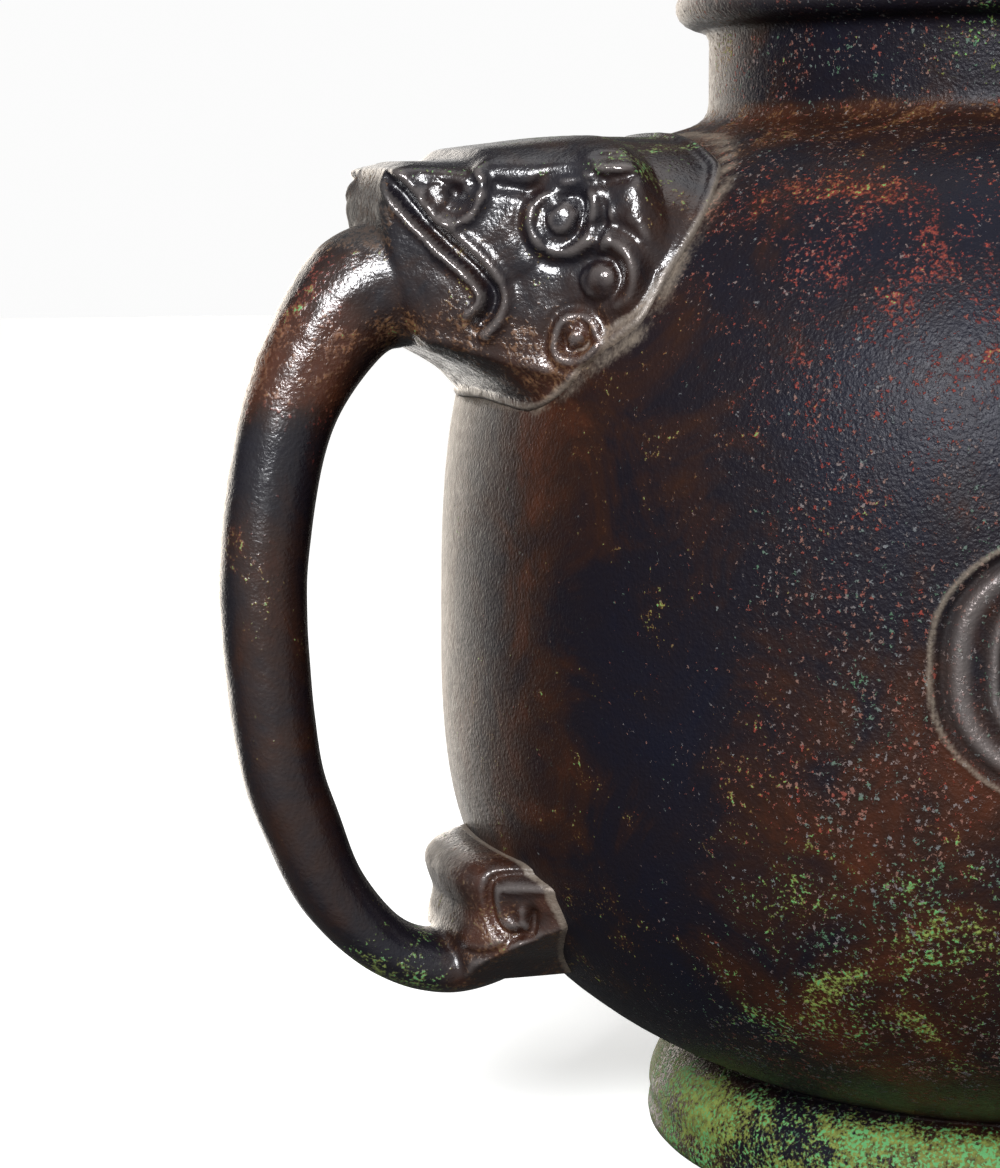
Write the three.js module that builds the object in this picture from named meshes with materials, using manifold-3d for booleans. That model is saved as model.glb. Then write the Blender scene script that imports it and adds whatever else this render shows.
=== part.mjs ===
// A cast bronze ewer: a round vessel on a ring foot, a beast-head handle and a curved spout.
// Millimetres, +Z up. The origin is the middle of the foot's resting plane.
// The spout points along +X, the handle lies along -X, and a cartouche faces -Y and +Y.
import * as THREE from "three";
import { mergeVertices } from "three/addons/utils/BufferGeometryUtils.js";
import Module from "manifold-3d";

// Vessel
const bellyRadius = 90;
const bellyHeight = 85;
const vesselWall = 3;
const shoulderReach = 74.3;
const shoulderCurve = { along: 2.71, across: 3.88 };
const baseClearance = 5.9;
const baseReach = bellyHeight - baseClearance;
const baseCurve = { along: 3.44, across: 1.84 };
const vesselSides = 36;

// Foot
const footHeight = 14.7;
const footRadius = 57.3;
const footPlinthHeight = 4.2;
const footGroove = 0.8;
const footWall = 4;
const footRestWidth = 5;
const footEdge = 0.8;

// Neck and rolled rim
const neckRadius = 49;
const neckTop = 170.4;
const rimOverhang = 5.3;
const rimThickness = 7;

// Cartouches, one on each broad side
const cartoucheWidth = 103;
const cartoucheHeight = 45;
const cartoucheCentre = 86.5;
const cartoucheSquareness = 2.7;
const frameWidth = 5.3;
const frameRelief = 1.3;
const frameGroove = 1.7;
const beadWidth = 1.7;
const beadRelief = 0.9;
const outlineSteps = 24;

// Handle, measured outward from the belly and up or down from the belly's height
const noseReach = 14.5;
const noseHalfWidth = 10.5;
const headHalfWidth = 34.5;
const cheekSlope = 0.73;
const loopReach = 36.7;
const loopThickness = 12.2;
const loopWidth = 14;
const scrollHalfWidth = 22.5;
const scrollNoseHalfWidth = 10.7;
const scrollSlope = 0.85;
const carvingRelief = 1;
const ridgeRadius = 0.9;

// Spout, from the same place on the other side
const spoutRootRadius = 15;
const spoutTipRadius = 6.5;
const spoutWall = 2.5;
const spoutRootHeight = -18;
const spoutTipHeight = 84;
const collarRadius = 2.2;
const spoutSides = 14;
const spoutSteps = 11;

// Every separate piece keeps this far from its neighbour
const seam = 0.3;

const wasm = await Module();
wasm.setup();

// A closed three.js geometry as a solid.
function solid(geometry) {
  const bare = geometry.clone();
  bare.deleteAttribute("normal");
  bare.deleteAttribute("uv");
  const merged = mergeVertices(bare, 1e-4);
  const mesh = new wasm.Mesh({
    numProp: 3,
    vertProperties: merged.attributes.position.array,
    triVerts: new Uint32Array(merged.index.array),
  });
  return new wasm.Manifold(mesh);
}

// A solid as a named mesh.
function piece(name, shape, material) {
  const mesh = shape.getMesh();
  const geometry = new THREE.BufferGeometry();
  geometry.setAttribute("position", new THREE.BufferAttribute(mesh.vertProperties, 3));
  geometry.setIndex(new THREE.BufferAttribute(mesh.triVerts, 1));
  geometry.computeVertexNormals();
  const named = new THREE.Mesh(geometry, material);
  named.name = name;
  return named;
}

// The mirror image of a geometry across the plane y = 0, with its faces still outward.
function mirrored(geometry) {
  const copy = geometry.index ? geometry.toNonIndexed() : geometry.clone();
  copy.scale(1, -1, 1);
  const place = copy.attributes.position;
  for (let i = 0; i < place.count; i += 3) {
    const first = new THREE.Vector3().fromBufferAttribute(place, i);
    const second = new THREE.Vector3().fromBufferAttribute(place, i + 1);
    place.setXYZ(i, second.x, second.y, second.z);
    place.setXYZ(i + 1, first.x, first.y, first.z);
  }
  return copy;
}

// Rings of points, one after another, joined into a skin with a flat cap at either end.
function skin(rings) {
  const count = rings[0].length;
  const points = rings.flat();
  const last = points.length - count;
  const triangles = [];
  for (let row = 0; row < last; row += count) {
    for (let i = 0; i < count; i++) {
      const a = row + i;
      const b = row + ((i + 1) % count);
      triangles.push(a, b, b + count, a, b + count, a + count);
    }
  }
  for (let i = 1; i + 1 < count; i++) {
    triangles.push(0, i + 1, i, last, last + i, last + i + 1);
  }
  return new THREE.BufferGeometry().setFromPoints(points).setIndex(triangles);
}

// A value that runs straight from each [place, value] to the next.
function between(stations) {
  return (place) => {
    const next = stations.findIndex(([at]) => at >= place);
    if (next < 0) return stations.at(-1)[1];
    if (next === 0) return stations[0][1];
    const [from, low] = stations[next - 1];
    const [to, high] = stations[next];
    return THREE.MathUtils.mapLinear(place, from, to, low, high);
  };
}

// A superellipse: a circle for power 2, squarer for more, with the half sizes a and b.
function superellipse(angle, a, b, power) {
  const bend = (value) => Math.sign(value) * Math.abs(value) ** (2 / power);
  return [a * bend(Math.cos(angle)), b * bend(Math.sin(angle))];
}

// The body's outline between two radii, grown or shrunk by an even amount.
function bodyArc(grow, fromRadius, toRadius, reach, curve, direction, steps) {
  const widest = bellyRadius + grow;
  const rise = (radius) =>
    (reach + grow) * (1 - (radius / widest) ** curve.across) ** (1 / curve.along);
  const start = Math.acos(fromRadius / widest);
  const end = Math.acos(toRadius / widest);
  const points = [];
  for (let step = 0; step <= steps; step++) {
    const radius = widest * Math.cos(THREE.MathUtils.lerp(start, end, step / steps));
    points.push([radius, bellyHeight + direction * rise(radius)]);
  }
  return points;
}

function baseArc(grow, fromRadius, steps) {
  return bodyArc(grow, fromRadius, bellyRadius + grow, baseReach, baseCurve, -1, steps);
}

function shoulderArc(grow, toRadius, steps) {
  return bodyArc(grow, bellyRadius + grow, toRadius, shoulderReach, shoulderCurve, 1, steps).slice(1);
}

// The radius at which the body's underside reaches a height.
function baseRadiusAt(height) {
  const share = ((bellyHeight - height) / baseReach) ** baseCurve.along;
  return bellyRadius * (1 - share) ** (1 / baseCurve.across);
}

function revolve(profile) {
  const points = profile.map(([radius, height]) => new THREE.Vector2(radius, height));
  return solid(new THREE.LatheGeometry(points, vesselSides).rotateX(Math.PI / 2));
}

// The foot's outer side: an upright plinth, a groove and a quarter roll up to the body.
function footProfile() {
  const rollFoot = footPlinthHeight + 2 * footGroove;
  const rollRun = footRadius - baseRadiusAt(footHeight);
  const roll = [0, 0.22, 0.44, 0.66, 0.85].map((turn) => {
    const [out, up] = superellipse((turn * Math.PI) / 2, rollRun, footHeight - rollFoot, 2);
    return [footRadius - rollRun + out, rollFoot + up];
  });
  return [
    [footRadius - footEdge, 0],
    [footRadius, footEdge],
    [footRadius, footPlinthHeight],
    [footRadius - footGroove, footPlinthHeight + footGroove],
    ...roll,
  ];
}

// The hollow under the foot, from the body's round underside out to the resting edge.
function recessProfile() {
  const ceiling = footHeight - footWall;
  const innerRest = footRadius - footEdge - footRestWidth;
  return [
    [0, bellyHeight - baseReach],
    [baseRadiusAt(ceiling) * 0.6, bellyHeight - baseReach + 1],
    [baseRadiusAt(ceiling), ceiling],
    [innerRest - 2, ceiling],
    [innerRest, ceiling - 3],
    [innerRest, 0],
  ];
}

// The rolled rim, from the neck outward and over the top to the mouth.
function rimProfile() {
  const half = rimThickness / 2;
  const points = [[neckRadius, neckTop]];
  for (let turn = -65; turn <= 115; turn += 36) {
    const [out, up] = superellipse(THREE.MathUtils.degToRad(turn), rimOverhang, half, 2.2);
    points.push([neckRadius + out, neckTop + half + up]);
  }
  return points;
}

// The vessel's outside down to the foot, with the mouth closed: what the other pieces sit on.
function outside(grow) {
  const mouth = neckTop + rimThickness + grow;
  return [
    [0, bellyHeight - baseReach - grow],
    ...baseArc(grow, baseRadiusAt(footHeight), 8),
    ...shoulderArc(grow, neckRadius + grow + 1, 8),
    [neckRadius + grow, mouth],
    [0, mouth],
  ];
}

// A superelliptic outline in the plane of a broad side, set in from the cartouche's edge.
function cartoucheOutline(inset) {
  const points = [];
  for (let step = 0; step < outlineSteps; step++) {
    const [x, z] = superellipse(
      (step / outlineSteps) * 2 * Math.PI,
      cartoucheWidth / 2 - inset,
      cartoucheHeight / 2 - inset,
      cartoucheSquareness,
    );
    points.push(new THREE.Vector2(x, cartoucheCentre + z));
  }
  return points;
}

// The body raised by an amount, between two insets of both cartouches' outlines.
function cartoucheBand(outerInset, innerInset, relief) {
  const shape = new THREE.Shape(cartoucheOutline(outerInset));
  shape.holes.push(new THREE.Path(cartoucheOutline(innerInset)));
  const through = 2 * (bellyRadius + relief);
  const slab = new THREE.ExtrudeGeometry(shape, { depth: through, bevelEnabled: false });
  slab.rotateX(Math.PI / 2).translate(0, through / 2, 0);
  const shell = revolve([
    [bellyRadius - vesselWall, cartoucheCentre - cartoucheHeight / 2],
    ...baseArc(relief, bellyRadius * 0.97, 3),
    ...shoulderArc(relief, bellyRadius * 0.97, 3),
    [bellyRadius - vesselWall, cartoucheCentre + cartoucheHeight / 2 + 2],
    [bellyRadius - vesselWall, cartoucheCentre - cartoucheHeight / 2],
  ]);
  return shell.intersect(solid(slab));
}

// Vessel: foot, body, neck and rim cast as one, open at the mouth and at the spout's bore.
function makeVessel(material) {
  const mouthRadius = neckRadius - vesselWall;
  const inner = [
    [mouthRadius, neckTop + rimThickness - 1.5],
    ...shoulderArc(-vesselWall, mouthRadius, 6).reverse(),
    ...baseArc(-vesselWall, 0, 6).reverse(),
  ];
  const shape = revolve([
    ...recessProfile(),
    ...footProfile(),
    ...baseArc(0, baseRadiusAt(footHeight), 8),
    ...shoulderArc(0, neckRadius + 2.5, 8),
    [neckRadius, bellyHeight + shoulderReach - 1],
    ...rimProfile(),
    ...inner,
  ]);
  const beadInset = frameWidth + frameGroove;
  const dressed = shape
    .add(cartoucheBand(0, frameWidth, frameRelief))
    .add(cartoucheBand(beadInset, beadInset + beadWidth, beadRelief));
  const bore = solid(spoutTube(-spoutWall, -0.3, 0.3).translate(bellyRadius, 0, bellyHeight));
  return piece("vessel", dressed.subtract(bore), material);
}

// Head of the handle: sections across it, boxy at the nose and round where it meets the body.
function headCore() {
  const top = between([[-32, 69], [-14, 69.3], [1.6, 67.5], [4, 65.6], [11, 65.6], [14, 64.6], [15.6, 60]]);
  const bottom = between([[-32, 31], [-4, 31], [0.5, 35], [4, 37.1], [9.6, 39.6], [13, 44], [15.6, 58]]);
  const power = between([[-32, 2.35], [-18, 2.5], [-10, 5], [14, 5], [15.6, 3.5]]);
  const flare = between([[-13, 3.2], [-8, 0]]);
  const stations = [-32, -16, -13, -8, -3, 0.5, 1.8, 4, 9, 12.5, 14, 15, 15.6];
  const rings = stations.map((x) => {
    const cheek = noseHalfWidth + cheekSlope * (noseReach - x);
    const half = x > noseReach ? noseHalfWidth - (x - noseReach) : Math.min(headHalfWidth, cheek + flare(x));
    const middle = (top(x) + bottom(x)) / 2;
    const ring = [];
    for (let i = 0; i < 20; i++) {
      const angle = (i / 20) * 2 * Math.PI;
      const [y, z] = superellipse(angle, half, top(x) - middle, power(x));
      ring.push(new THREE.Vector3(x, y, middle + z));
    }
    return ring;
  });
  return skin(rings);
}

// The loop: an oval bar that leaves the mouth, hangs down and flattens into the lower scroll.
function loopBar() {
  const middle = loopReach - loopThickness / 2;
  const stations = [
    { x: 4, z: 48, thick: 8, wide: 16.5 },
    { x: 14, z: 47.6, thick: 9.2, wide: 10.4 },
    { x: 20.6, z: 41.6, thick: 7.9, wide: 8.4 },
    { x: middle - 3.7, z: 29.3, thick: 6.6, wide: 7.3 },
    { x: middle - 0.4, z: 12, thick: 6.3, wide: loopWidth / 2 },
    { x: middle - 0.2, z: -2, thick: loopThickness / 2, wide: loopWidth / 2 },
    { x: middle - 2.2, z: -20, thick: 5.8, wide: loopWidth / 2 },
    { x: middle - 5.3, z: -29.5, thick: 5.6, wide: loopWidth / 2 },
    { x: 20.7, z: -39.8, thick: 5.1, wide: 6.8 },
    { x: 12.6, z: -48.4, thick: 4.5, wide: 7.2 },
    { x: 3.5, z: -51.4, thick: 4.4, wide: 8.5 },
    { x: -6, z: -49, thick: 4.2, wide: 9 },
    { x: -16, z: -43, thick: 4.2, wide: 9 },
  ];
  const line = new THREE.CatmullRomCurve3(stations.map(({ x, z }) => new THREE.Vector3(x, 0, z)));
  const steps = 24;
  const rings = [];
  for (let step = 0; step <= steps; step++) {
    const share = step / steps;
    const centre = line.getPoint(share);
    const heading = line.getTangent(share);
    const outward = new THREE.Vector3(-heading.z, 0, heading.x);
    const place = share * (stations.length - 1);
    const near = stations[Math.floor(place)];
    const next = stations[Math.min(Math.floor(place) + 1, stations.length - 1)];
    const blend = place - Math.floor(place);
    const thick = THREE.MathUtils.lerp(near.thick, next.thick, blend);
    const wide = THREE.MathUtils.lerp(near.wide, next.wide, blend);
    const ring = [];
    for (let i = 0; i < 12; i++) {
      const [across, out] = superellipse((i / 12) * 2 * Math.PI, wide, thick, 2.3);
      ring.push(centre.clone().addScaledVector(outward, out).add(new THREE.Vector3(0, across, 0)));
    }
    rings.push(ring);
  }
  return skin(rings);
}

// The curled lobe above the loop's foot: level sections, each a wedge with a round front.
function scrollLobe() {
  const front = between([[-51, 4], [-46, 4.2], [-44, 3.6], [-42, 3.2], [-40, 4], [-38, 4.6], [-36.5, 4.4], [-35, 3],
    [-34.2, 0]]);
  const width = between([[-53, 8], [-49, 12], [-43, 20], [-38, scrollHalfWidth], [-35, scrollHalfWidth], [-34.2, 20]]);
  const rings = [-53, -49, -46, -44, -42, -40, -38, -36.5, -35, -34.2].map((z) => {
    const half = width(z);
    const ring = [new THREE.Vector3(-24, half, z), new THREE.Vector3(-24, -half, z)];
    for (let i = -5; i <= 5; i++) {
      const y = (i / 5) * half;
      const past = Math.abs(y) - scrollNoseHalfWidth;
      const setback = (past + Math.hypot(past, 3)) / (2 * scrollSlope);
      ring.push(new THREE.Vector3(front(z) - setback + 0.5, y, z));
    }
    return ring;
  });
  return skin(rings);
}

// A frame on a slanted side face: first axis back toward the body, second up, third outward.
function faceFrame(reach, halfWidth, slope) {
  const angle = Math.atan(slope);
  const back = new THREE.Vector3(-Math.cos(angle), Math.sin(angle), 0);
  const up = new THREE.Vector3(0, 0, 1);
  const outward = new THREE.Vector3(Math.sin(angle), Math.cos(angle), 0);
  return new THREE.Matrix4().makeBasis(back, up, outward).setPosition(reach, halfWidth, 0);
}

// A round rod along points on a face.
function rod(points, radius, steps) {
  const path = new THREE.CatmullRomCurve3(points.map(([t, z]) => new THREE.Vector3(t, z, 0)));
  const section = new THREE.Shape();
  for (let side = 0; side < 5; side++) {
    const angle = (side / 5) * 2 * Math.PI;
    const draw = side === 0 ? "moveTo" : "lineTo";
    section[draw](radius * Math.cos(angle), radius * Math.sin(angle));
  }
  return new THREE.ExtrudeGeometry(section, { steps, extrudePath: path });
}

// A raised ring, drop-shaped when it has a point, round a hole of the same form.
function ringPlate(centre, outer, inner, point, lean, shift) {
  const outline = (radius, offset) => {
    const points = [];
    for (let i = 0; i < 10; i++) {
      const angle = (i / 10) * 2 * Math.PI;
      const reach = radius * (1 + point * Math.max(0, Math.cos(angle)) ** 5);
      points.push(new THREE.Vector2(
        centre[0] + offset[0] + reach * Math.cos(angle + lean),
        centre[1] + offset[1] + reach * Math.sin(angle + lean),
      ));
    }
    return points;
  };
  const shape = new THREE.Shape(outline(outer, [0, 0]));
  shape.holes.push(new THREE.Path(outline(inner, shift)));
  const sunk = 4;
  return new THREE.ExtrudeGeometry(shape, { depth: sunk + carvingRelief, bevelEnabled: false }).translate(0, 0, -sunk);
}

// A low dome on a face.
function dome(centre, halfWidth, halfHeight, rise) {
  return new THREE.SphereGeometry(1, 7, 4)
    .scale(halfWidth, halfHeight, rise)
    .translate(centre[0], centre[1], 0);
}

// What is carved on one cheek: raised forms and cut lines, in the cheek's own frame.
function cheekCarving() {
  const eye = [25, 57.6];
  const ear = [31.4, 50.2];
  const roundel = [27.3, 41.5];
  const nostril = [9.2, 60.6];
  const lip = [[1, 61.5], [4.3, 58], [8, 54.6], [12.5, 50.8], [14.8, 47.6], [14.4, 45], [12.6, 43.2]];
  const lowerLip = lip.slice(1).map(([t, z]) => [t - 1.9, z - 0.9]);
  const jaw = [[1, 41.6], [10, 39.6], [17.3, 37.8], [26, 36.8]];
  return {
    raised: [
      ringPlate(eye, 4.6, 3.2, 0.45, 0.8, [0, 0]),
      dome(eye, 2.9, 2.7, 1.1),
      ringPlate(ear, 5.2, 3.2, 0, 0, [-1, -1]),
      dome([ear[0] - 1, ear[1] - 1], 2.9, 2.9, 1.3),
      ringPlate(roundel, 3.2, 2, 0, 0, [0, 0]),
      dome(roundel, 1.8, 1.8, 1),
      ringPlate(nostril, 3.9, 2.5, 0, 0, [-0.5, 0.5]),
      dome([nostril[0] - 0.5, nostril[1] + 0.5], 2, 2, 1),
      rod(lowerLip, ridgeRadius, 7),
      rod(jaw, ridgeRadius, 4),
    ],
    cut: [rod(lip, ridgeRadius, 7), rod([[30, 66.5], [36, 66.8], [48, 66.8]], ridgeRadius, 2)],
  };
}

// What is carved on one side of the scroll: a square plate with a groove about it.
function scrollCarving() {
  const groove = [[16, -35.2], [6, -36], [3.9, -38], [4.2, -42.5], [6.5, -44.6]];
  const strip = [[-7, -46.4], [-3, -47.6], [2, -48], [5.5, -46.8], [8.6, -43.8]];
  return { raised: [], cut: [rod(groove, 1.3, 6), rod(strip, 0.7, 4)] };
}

// Handle: head, loop and scroll cast as one, seated on the vessel all round both ends.
function makeHandle(seat, material) {
  let shape = solid(headCore()).add(solid(loopBar())).add(solid(scrollLobe()));
  const cheek = faceFrame(noseReach, noseHalfWidth, cheekSlope);
  const flank = faceFrame(5, 12, scrollSlope);
  for (const [frame, carving] of [[cheek, cheekCarving()], [flank, scrollCarving()]]) {
    for (const form of carving.raised) {
      form.applyMatrix4(frame);
      shape = shape.add(solid(form)).add(solid(mirrored(form)));
    }
    for (const form of carving.cut) {
      form.applyMatrix4(frame);
      shape = shape.subtract(solid(form)).subtract(solid(mirrored(form)));
    }
  }
  const handle = piece("handle", shape.subtract(seat), material);
  handle.position.set(-bellyRadius, 0, bellyHeight);
  handle.rotation.z = Math.PI;
  return handle;
}

// The spout's route, from inside the body out and up to the tip.
function spoutLine() {
  const tip = loopReach - spoutTipRadius;
  return new THREE.CatmullRomCurve3([
    new THREE.Vector3(-14, 0, spoutRootHeight - 6),
    new THREE.Vector3(4, 0, spoutRootHeight),
    new THREE.Vector3(18, 0, spoutRootHeight + 18),
    new THREE.Vector3(22, 0, spoutRootHeight + 42),
    new THREE.Vector3(tip - 3, 0, spoutTipHeight - 14),
    new THREE.Vector3(tip, 0, spoutTipHeight),
  ]);
}

// A tapering round tube's skin along the spout, past its ends by the given lengths in shares.
function spoutTube(grow, before, after) {
  const line = spoutLine();
  const rings = [];
  for (let step = 0; step <= spoutSteps; step++) {
    const share = step / spoutSteps;
    const centre = line.getPoint(share);
    const heading = line.getTangent(share);
    const extra = step === 0 ? before : step === spoutSteps ? after : 0;
    centre.addScaledVector(heading, extra * spoutRootRadius);
    const side = new THREE.Vector3(-heading.z, 0, heading.x);
    const radius = THREE.MathUtils.lerp(spoutRootRadius, spoutTipRadius, Math.sqrt(share)) + grow;
    const ring = [];
    for (let i = 0; i < spoutSides; i++) {
      const angle = (i / spoutSides) * 2 * Math.PI;
      const point = centre.clone().addScaledVector(side, radius * Math.sin(angle));
      point.y += radius * Math.cos(angle);
      ring.push(point);
    }
    rings.push(ring);
  }
  return skin(rings);
}

// Spout: a hollow tube seated on the vessel, with a plain collar below its tip.
function makeSpout(seat, material) {
  const line = spoutLine();
  const place = 0.9;
  const heading = line.getTangent(place);
  const collar = new THREE.TorusGeometry(
    THREE.MathUtils.lerp(spoutRootRadius, spoutTipRadius, Math.sqrt(place)),
    collarRadius / 2,
    6,
    spoutSides,
  );
  collar.applyQuaternion(new THREE.Quaternion().setFromUnitVectors(new THREE.Vector3(0, 0, 1), heading));
  collar.translate(...line.getPoint(place).toArray());
  const shape = solid(spoutTube(0, 0, 0))
    .add(solid(collar))
    .subtract(solid(spoutTube(-spoutWall, -0.3, 0.3)))
    .subtract(seat);
  const spout = piece("spout", shape, material);
  spout.position.set(bellyRadius, 0, bellyHeight);
  return spout;
}

function makeEwer() {
  const bronze = new THREE.MeshStandardMaterial({ color: 0x3a2a24, roughness: 0.45, metalness: 0.9 });
  const vesselBronze = bronze.clone();
  vesselBronze.color.set(0x2e2826);
  const spoutBronze = bronze.clone();
  spoutBronze.color.set(0x33302a);
  const atBelly = new THREE.Vector3(-bellyRadius, 0, -bellyHeight);
  const seat = revolve(outside(seam)).translate(atBelly.toArray());
  const ewer = new THREE.Group();
  ewer.add(makeVessel(vesselBronze), makeHandle(seat, bronze), makeSpout(seat, spoutBronze));
  return ewer;
}

export default makeEwer();
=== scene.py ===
import math

import bpy
import numpy as np
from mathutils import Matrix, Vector


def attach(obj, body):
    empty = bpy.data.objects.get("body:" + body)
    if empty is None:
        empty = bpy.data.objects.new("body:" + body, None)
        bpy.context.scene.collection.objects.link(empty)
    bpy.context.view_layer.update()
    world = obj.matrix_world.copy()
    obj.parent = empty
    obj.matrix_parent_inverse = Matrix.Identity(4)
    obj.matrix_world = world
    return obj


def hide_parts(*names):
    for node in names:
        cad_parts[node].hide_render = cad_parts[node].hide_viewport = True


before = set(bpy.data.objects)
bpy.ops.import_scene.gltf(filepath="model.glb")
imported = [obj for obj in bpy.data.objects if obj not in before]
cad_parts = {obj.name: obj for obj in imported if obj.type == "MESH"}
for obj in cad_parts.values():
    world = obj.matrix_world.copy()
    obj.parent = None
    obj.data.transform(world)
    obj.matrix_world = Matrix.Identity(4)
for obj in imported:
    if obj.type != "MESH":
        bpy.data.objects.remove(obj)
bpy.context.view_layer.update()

# Camera. A close view from a little under the rim's height, 28 degrees round from the broad side
# toward the handle, that takes in the left part of the ewer.
camera = bpy.data.objects.new("camera", bpy.data.cameras.new("camera"))
bpy.context.collection.objects.link(camera)
camera.location = (-0.21966, -0.41441, 0.14687)
camera.rotation_euler = (math.radians(82.474), 0, math.radians(-18))
camera.data.lens = 92.47
camera.data.sensor_width = 36
bpy.context.scene.camera = camera

# Handle. One casting: a beast's head that bites the loop, the loop, and a curled scroll at its
# foot, soldered to the vessel round both ends. What stands out of the carving is rubbed.
MM = 0.001
BELLY = 90.0
BELLY_HEIGHT = 85.0
SHOULDER_REACH = 74.3
SHOULDER_POWERS = (2.71, 3.88)
BASE_REACH = 79.1
BASE_POWERS = (3.44, 1.84)
LAP = 1.2
NOSE_REACH = 104.5
NOSE_HALF = 10.5
CHEEK_SLOPE = 0.73
FLANK_REACH = 95.0
FLANK_HALF = 12.0
FLANK_SLOPE = 0.85


def body_radius(height):
    """The belly times two superelliptic falls, one up to the shoulder and one down to the base."""
    up = np.clip((height - BELLY_HEIGHT) / SHOULDER_REACH, 0, 1)
    down = np.clip((BELLY_HEIGHT - height) / BASE_REACH, 0, 1)
    upper = (1 - up ** SHOULDER_POWERS[0]) ** (1 / SHOULDER_POWERS[1])
    lower = (1 - down ** BASE_POWERS[0]) ** (1 / BASE_POWERS[1])
    return BELLY * upper * lower


def body_curve(grow, radii, rising):
    """The body's outline, grown by an amount, between two radii, closer together where it turns."""
    widest = BELLY + grow
    radius = widest * np.cos(np.linspace(*np.arccos(np.array(radii) / widest), 160))
    reach = SHOULDER_REACH + grow if rising else -(BASE_REACH + grow)
    outer, inner = SHOULDER_POWERS if rising else BASE_POWERS
    height = BELLY_HEIGHT + reach * (1 - (radius / widest) ** inner) ** (1 / outer)
    return np.stack([radius, height], axis=1)


def turned(line, turn):
    """A line of radii and heights carried round the axis by angles."""
    radius, height = line.T[:, :, None]
    return np.stack([radius * np.cos(turn), radius * np.sin(turn), height + 0 * turn], axis=-1)


def from_handle(s, n, z):
    """Places given by reach from the axis, distance across and height, as points in the frame."""
    s, n, z = np.broadcast_arrays(s, n, z)
    return np.stack([-s, -n, z], axis=-1)


def superellipse(turn, wide, rise, power):
    """Points of a superellipse by angle: a circle for power 2 and squarer above it."""
    bend = lambda value: np.sign(value) * np.abs(value) ** (2 / power)
    return wide * bend(np.cos(turn)), rise * bend(np.sin(turn))


def smooth_line(points, count):
    """A curve through points, by cubics whose slope at each is that between its neighbours."""
    points = np.array(points, float)
    p = np.vstack([2 * points[:1] - points[1:2], points, 2 * points[-1:] - points[-2:-1]])
    place = np.linspace(0, len(points) - 1, count)
    i = np.minimum(place.astype(int), len(points) - 2)
    u = (place - i)[:, None]
    a, b, c, d = p[i], p[i + 1], p[i + 2], p[i + 3]
    return 0.5 * (2 * b + (c - a) * u + (2 * a - 5 * b + 4 * c - d) * u**2 + (3 * b - a - 3 * c + d) * u**3)


def ease(low, high, value):
    """Nought below low, one above high and smooth between."""
    share = np.clip((value - low) / (high - low), 0, 1)
    return share * share * (3 - 2 * share)


def ridge(distance, width):
    """A round ridge across a distance, one high and fading past its width."""
    return np.exp(-((distance / width) ** 2))


def waves(points, length, seed, count=36):
    """Soft unevenness, mostly from -1 to 1: waves of about one length, crossing in seeded directions."""
    chance = np.random.default_rng(seed)
    heading = chance.normal(size=(count, 3))
    heading /= np.linalg.norm(heading, axis=1)[:, None]
    turns = 2 * np.pi / (length * chance.uniform(0.7, 1.6, count))
    phase = points @ (heading * turns[:, None]).T + chance.uniform(0, 2 * np.pi, count)
    return np.sin(phase).sum(axis=-1) / np.sqrt(2 * count)


def mesh_piece(name, vertices, face_sets):
    """A smooth-shaded object from points in millimetres and arrays of faces."""
    mesh = bpy.data.meshes.new(name)
    corners = np.concatenate([faces.ravel() for faces in face_sets]).astype(np.int32)
    sizes = np.concatenate([np.full(len(faces), faces.shape[1]) for faces in face_sets])
    mesh.vertices.add(len(vertices))
    mesh.vertices.foreach_set("co", (vertices * MM).astype(np.float32).ravel())
    mesh.loops.add(len(corners))
    mesh.loops.foreach_set("vertex_index", corners)
    mesh.polygons.add(len(sizes))
    mesh.polygons.foreach_set("loop_start", (np.cumsum(sizes) - sizes).astype(np.int32))
    mesh.update(calc_edges=True)
    mesh.shade_smooth()
    piece = bpy.data.objects.new(name, mesh)
    bpy.context.collection.objects.link(piece)
    return piece


def grid_piece(name, points, hoop=False):
    """A skin over rings of points. A hoop joins its last ring to its first, others get a fan each end."""
    rows, columns = points.shape[:2]
    vertices = points.reshape(-1, 3)
    row, column = np.meshgrid(np.arange(rows if hoop else rows - 1), np.arange(columns), indexing="ij")
    beside, above = (column + 1) % columns, (row + 1) % rows
    quads = np.stack([row * columns + column, row * columns + beside,
                      above * columns + beside, above * columns + column], axis=-1).reshape(-1, 4)
    if hoop:
        return mesh_piece(name, vertices, [quads])
    around = np.arange(columns)
    after = (around + 1) % columns
    low = np.stack([np.full(columns, len(vertices)), after, around], axis=1)
    high = np.stack([np.full(columns, len(vertices) + 1), around + (rows - 1) * columns,
                     after + (rows - 1) * columns], axis=1)
    ends = [vertices[:columns].mean(axis=0), vertices[-columns:].mean(axis=0)]
    return mesh_piece(name, np.vstack([vertices, ends]), [quads, low, high])


def points_of(piece):
    """The points of a piece's mesh, in millimetres."""
    flat = np.empty(3 * len(piece.data.vertices), np.float32)
    piece.data.vertices.foreach_get("co", flat)
    return flat.reshape(-1, 3).astype(float) / MM


def mark(piece, name, values):
    """Values from 0 to 1 kept on the mesh's points, for the material to read by name."""
    kept = piece.data.attributes.new(name, "FLOAT", "POINT")
    kept.data.foreach_set("value", np.clip(values, 0, 1).astype(np.float32))


def settle(piece):
    """The piece with its modifiers made real."""
    depsgraph = bpy.context.evaluated_depsgraph_get()
    mesh = bpy.data.meshes.new_from_object(piece.evaluated_get(depsgraph))
    piece.modifiers.clear()
    piece.data = mesh
    mesh.shade_smooth()


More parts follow.
